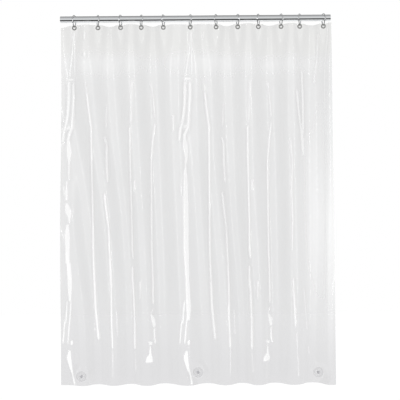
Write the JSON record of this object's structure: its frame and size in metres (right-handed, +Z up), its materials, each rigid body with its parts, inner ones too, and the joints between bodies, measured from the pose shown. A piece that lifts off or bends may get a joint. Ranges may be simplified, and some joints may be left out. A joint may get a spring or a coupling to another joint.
{
  "type": "shower curtain",
  "caption": "Clear vinyl shower curtain liner with soft pleats, hung by wire rings through metal grommets from a straight chromed rod, with magnets along its hem.",
  "frame": {"origin": "on the rod axis, half-way along the rod", "axes": "+X along the rod from ring 1 to ring 12, +Z up, -Y the front, towards the viewer"},
  "size_m": [1.3781, 0.1167, 1.8803],
  "materials": {
    "chromed_tube": "polished",
    "chromed_wire": "polished",
    "grommet_metal": "polished",
    "clear_film": "gloss",
    "patch_film": "gloss",
    "magnet": "satin"
  },
  "bodies": {
    "rod": {"rod": "chromed_tube"},
    "ring_01": {"ring_01": "chromed_wire", "grommet_01": "grommet_metal"},
    "ring_02": {"ring_02": "chromed_wire", "grommet_02": "grommet_metal"},
    "ring_03": {"ring_03": "chromed_wire", "grommet_03": "grommet_metal"},
    "ring_04": {"ring_04": "chromed_wire", "grommet_04": "grommet_metal"},
    "ring_05": {"ring_05": "chromed_wire", "grommet_05": "grommet_metal"},
    "ring_06": {"ring_06": "chromed_wire", "grommet_06": "grommet_metal"},
    "ring_07": {"ring_07": "chromed_wire", "grommet_07": "grommet_metal"},
    "ring_08": {"ring_08": "chromed_wire", "grommet_08": "grommet_metal"},
    "ring_09": {"ring_09": "chromed_wire", "grommet_09": "grommet_metal"},
    "ring_10": {"ring_10": "chromed_wire", "grommet_10": "grommet_metal"},
    "ring_11": {"ring_11": "chromed_wire", "grommet_11": "grommet_metal"},
    "ring_12": {"ring_12": "chromed_wire", "grommet_12": "grommet_metal"},
    "film_01_left": {"film_01_left": "clear_film"},
    "film_01_right": {"film_01_right": "clear_film", "magnet_1": "magnet", "magnet_patch_1": "patch_film"},
    "film_02_left": {"film_02_left": "clear_film"},
    "film_02_right": {"film_02_right": "clear_film"},
    "film_03_left": {"film_03_left": "clear_film"},
    "film_03_right": {"film_03_right": "clear_film"},
    "film_04_left": {"film_04_left": "clear_film"},
    "film_04_right": {"film_04_right": "clear_film"},
    "film_05_left": {"film_05_left": "clear_film"},
    "film_05_right": {"film_05_right": "clear_film"},
    "film_06_left": {"film_06_left": "clear_film"},
    "film_06_right": {"film_06_right": "clear_film", "magnet_2": "magnet", "magnet_patch_2": "patch_film"},
    "film_07_left": {"film_07_left": "clear_film"},
    "film_07_right": {"film_07_right": "clear_film"},
    "film_08_left": {"film_08_left": "clear_film"},
    "film_08_right": {"film_08_right": "clear_film"},
    "film_09_left": {"film_09_left": "clear_film"},
    "film_09_right": {"film_09_right": "clear_film"},
    "film_10_left": {"film_10_left": "clear_film"},
    "film_10_right": {"film_10_right": "clear_film"},
    "film_11_left": {"film_11_left": "clear_film"},
    "film_11_right": {"film_11_right": "clear_film"},
    "film_12_left": {"film_12_left": "clear_film", "magnet_3": "magnet", "magnet_patch_3": "patch_film"},
    "film_12_right": {"film_12_right": "clear_film"}
  },
  "joints": [
    {"name": "curtain_swing", "type": "hinge", "parent": "rod", "child": "ring_01", "pos_m": [0, 0, 0], "axis": [1, 0, 0], "range_deg": [-20, 20]},
    {"name": "ring_12_slide", "type": "slide", "parent": "ring_01", "child": "ring_12", "axis": [-1, 0, 0], "range_m": [0, 0.8855]},
    {"name": "ring_02_slide", "type": "slide", "parent": "ring_01", "child": "ring_02", "axis": [-1, 0, 0], "range_m": [0, 0.0841]},
    {"name": "ring_03_slide", "type": "slide", "parent": "ring_01", "child": "ring_03", "axis": [-1, 0, 0], "range_m": [0, 0.1646]},
    {"name": "ring_04_slide", "type": "slide", "parent": "ring_01", "child": "ring_04", "axis": [-1, 0, 0], "range_m": [0, 0.2381]},
    {"name": "ring_05_slide", "type": "slide", "parent": "ring_01", "child": "ring_05", "axis": [-1, 0, 0], "range_m": [0, 0.3165]},
    {"name": "ring_06_slide", "type": "slide", "parent": "ring_01", "child": "ring_06", "axis": [-1, 0, 0], "range_m": [0, 0.4124]},
    {"name": "ring_07_slide", "type": "slide", "parent": "ring_01", "child": "ring_07", "axis": [-1, 0, 0], "range_m": [0, 0.5041]},
    {"name": "ring_08_slide", "type": "slide", "parent": "ring_01", "child": "ring_08", "axis": [-1, 0, 0], "range_m": [0, 0.5811]},
    {"name": "ring_09_slide", "type": "slide", "parent": "ring_01", "child": "ring_09", "axis": [-1, 0, 0], "range_m": [0, 0.6546]},
    {"name": "ring_10_slide", "type": "slide", "parent": "ring_01", "child": "ring_10", "axis": [-1, 0, 0], "range_m": [0, 0.7351]},
    {"name": "ring_11_slide", "type": "slide", "parent": "ring_01", "child": "ring_11", "axis": [-1, 0, 0], "range_m": [0, 0.8016]},
    {"name": "film_01_left_fold", "type": "hinge", "parent": "ring_01", "child": "film_01_left", "pos_m": [-0.615, 0, 0], "axis": [0, 0, 1], "range_deg": [-56.94, 0]},
    {"name": "film_01_right_fold", "type": "hinge", "parent": "ring_01", "child": "film_01_right", "pos_m": [-0.615, 0, 0], "axis": [0, 0, 1], "range_deg": [-46.19, 0]},
    {"name": "film_02_left_fold", "type": "hinge", "parent": "ring_02", "child": "film_02_left", "pos_m": [-0.495, 0, 0], "axis": [0, 0, 1], "range_deg": [0, 46.19]},
    {"name": "film_02_right_fold", "type": "hinge", "parent": "ring_02", "child": "film_02_right", "pos_m": [-0.495, 0, 0], "axis": [0, 0, 1], "range_deg": [0, 43.31]},
    {"name": "film_03_left_fold", "type": "hinge", "parent": "ring_03", "child": "film_03_left", "pos_m": [-0.38, 0, 0], "axis": [0, 0, 1], "range_deg": [-43.31, 0]},
    {"name": "film_03_right_fold", "type": "hinge", "parent": "ring_03", "child": "film_03_right", "pos_m": [-0.38, 0, 0], "axis": [0, 0, 1], "range_deg": [-37.98, 0]},
    {"name": "film_04_left_fold", "type": "hinge", "parent": "ring_04", "child": "film_04_left", "pos_m": [-0.275, 0, 0], "axis": [0, 0, 1], "range_deg": [0, 37.98]},
    {"name": "film_04_right_fold", "type": "hinge", "parent": "ring_04", "child": "film_04_right", "pos_m": [-0.275, 0, 0], "axis": [0, 0, 1], "range_deg": [0, 41.66]},
    {"name": "film_05_left_fold", "type": "hinge", "parent": "ring_05", "child": "film_05_left", "pos_m": [-0.163, 0, 0], "axis": [0, 0, 1], "range_deg": [-41.66, 0]},
    {"name": "film_05_right_fold", "type": "hinge", "parent": "ring_05", "child": "film_05_right", "pos_m": [-0.163, 0, 0], "axis": [0, 0, 1], "range_deg": [-57.73, 0]},
    {"name": "film_06_left_fold", "type": "hinge", "parent": "ring_06", "child": "film_06_left", "pos_m": [-0.026, 0, 0], "axis": [0, 0, 1], "range_deg": [0, 57.73]},
    {"name": "film_06_right_fold", "type": "hinge", "parent": "ring_06", "child": "film_06_right", "pos_m": [-0.026, 0, 0], "axis": [0, 0, 1], "range_deg": [-53.25, 0]},
    {"name": "film_07_left_fold", "type": "hinge", "parent": "ring_07", "child": "film_07_left", "pos_m": [0.105, 0, 0], "axis": [0, 0, 1], "range_deg": [0, 53.25]},
    {"name": "film_07_right_fold", "type": "hinge", "parent": "ring_07", "child": "film_07_right", "pos_m": [0.105, 0, 0], "axis": [0, 0, 1], "range_deg": [0, 40.59]},
    {"name": "film_08_left_fold", "type": "hinge", "parent": "ring_08", "child": "film_08_left", "pos_m": [0.215, 0, 0], "axis": [0, 0, 1], "range_deg": [-40.59, 0]},
    {"name": "film_08_right_fold", "type": "hinge", "parent": "ring_08", "child": "film_08_right", "pos_m": [0.215, 0, 0], "axis": [0, 0, 1], "range_deg": [-37.98, 0]},
    {"name": "film_09_left_fold", "type": "hinge", "parent": "ring_09", "child": "film_09_left", "pos_m": [0.32, 0, 0], "axis": [0, 0, 1], "range_deg": [0, 37.98]},
    {"name": "film_09_right_fold", "type": "hinge", "parent": "ring_09", "child": "film_09_right", "pos_m": [0.32, 0, 0], "axis": [0, 0, 1], "range_deg": [0, 43.31]},
    {"name": "film_10_left_fold", "type": "hinge", "parent": "ring_10", "child": "film_10_left", "pos_m": [0.435, 0, 0], "axis": [0, 0, 1], "range_deg": [-43.31, 0]},
    {"name": "film_10_right_fold", "type": "hinge", "parent": "ring_10", "child": "film_10_right", "pos_m": [0.435, 0, 0], "axis": [0, 0, 1], "range_deg": [-33.06, 0]},
    {"name": "film_11_left_fold", "type": "hinge", "parent": "ring_11", "child": "film_11_left", "pos_m": [0.53, 0, 0], "axis": [0, 0, 1], "range_deg": [0, 33.06]},
    {"name": "film_11_right_fold", "type": "hinge", "parent": "ring_11", "child": "film_11_right", "pos_m": [0.53, 0, 0], "axis": [0, 0, 1], "range_deg": [0, 46.19]},
    {"name": "film_12_left_fold", "type": "hinge", "parent": "ring_12", "child": "film_12_left", "pos_m": [0.65, 0, 0], "axis": [0, 0, 1], "range_deg": [-46.19, 0]},
    {"name": "film_12_right_fold", "type": "hinge", "parent": "ring_12", "child": "film_12_right", "pos_m": [0.65, 0, 0], "axis": [0, 0, 1], "range_deg": [-29.8, 0]}
  ],
  "couplings": [
    {"joint": "ring_02_slide", "follows": "ring_12_slide", "ratio": 0.094862},
    {"joint": "ring_03_slide", "follows": "ring_12_slide", "ratio": 0.18577},
    {"joint": "ring_04_slide", "follows": "ring_12_slide", "ratio": 0.26877},
    {"joint": "ring_05_slide", "follows": "ring_12_slide", "ratio": 0.35731},
    {"joint": "ring_06_slide", "follows": "ring_12_slide", "ratio": 0.46561},
    {"joint": "ring_07_slide", "follows": "ring_12_slide", "ratio": 0.56917},
    {"joint": "ring_08_slide", "follows": "ring_12_slide", "ratio": 0.65613},
    {"joint": "ring_09_slide", "follows": "ring_12_slide", "ratio": 0.73913},
    {"joint": "ring_10_slide", "follows": "ring_12_slide", "ratio": 0.83004},
    {"joint": "ring_11_slide", "follows": "ring_12_slide", "ratio": 0.90514},
    {"joint": "film_01_left_fold", "follows": "ring_12_slide", "rad_per_m": -1.1222},
    {"joint": "film_01_right_fold", "follows": "ring_12_slide", "rad_per_m": -0.91033},
    {"joint": "film_02_left_fold", "follows": "ring_12_slide", "rad_per_m": 0.91033},
    {"joint": "film_02_right_fold", "follows": "ring_12_slide", "rad_per_m": 0.85362},
    {"joint": "film_03_left_fold", "follows": "ring_12_slide", "rad_per_m": -0.85362},
    {"joint": "film_03_right_fold", "follows": "ring_12_slide", "rad_per_m": -0.74848},
    {"joint": "film_04_left_fold", "follows": "ring_12_slide", "rad_per_m": 0.74848},
    {"joint": "film_04_right_fold", "follows": "ring_12_slide", "rad_per_m": 0.82104},
    {"joint": "film_05_left_fold", "follows": "ring_12_slide", "rad_per_m": -0.82104},
    {"joint": "film_05_right_fold", "follows": "ring_12_slide", "rad_per_m": -1.1378},
    {"joint": "film_06_left_fold", "follows": "ring_12_slide", "rad_per_m": 1.1378},
    {"joint": "film_06_right_fold", "follows": "ring_12_slide", "rad_per_m": -1.0494},
    {"joint": "film_07_left_fold", "follows": "ring_12_slide", "rad_per_m": 1.0494},
    {"joint": "film_07_right_fold", "follows": "ring_12_slide", "rad_per_m": 0.79984},
    {"joint": "film_08_left_fold", "follows": "ring_12_slide", "rad_per_m": -0.79984},
    {"joint": "film_08_right_fold", "follows": "ring_12_slide", "rad_per_m": -0.74848},
    {"joint": "film_09_left_fold", "follows": "ring_12_slide", "rad_per_m": 0.74848},
    {"joint": "film_09_right_fold", "follows": "ring_12_slide", "rad_per_m": 0.85362},
    {"joint": "film_10_left_fold", "follows": "ring_12_slide", "rad_per_m": -0.85362},
    {"joint": "film_10_right_fold", "follows": "ring_12_slide", "rad_per_m": -0.65152},
    {"joint": "film_11_left_fold", "follows": "ring_12_slide", "rad_per_m": 0.65152},
    {"joint": "film_11_right_fold", "follows": "ring_12_slide", "rad_per_m": 0.91033},
    {"joint": "film_12_left_fold", "follows": "ring_12_slide", "rad_per_m": -0.91033},
    {"joint": "film_12_right_fold", "follows": "ring_12_slide", "rad_per_m": -0.58727}
  ]
}
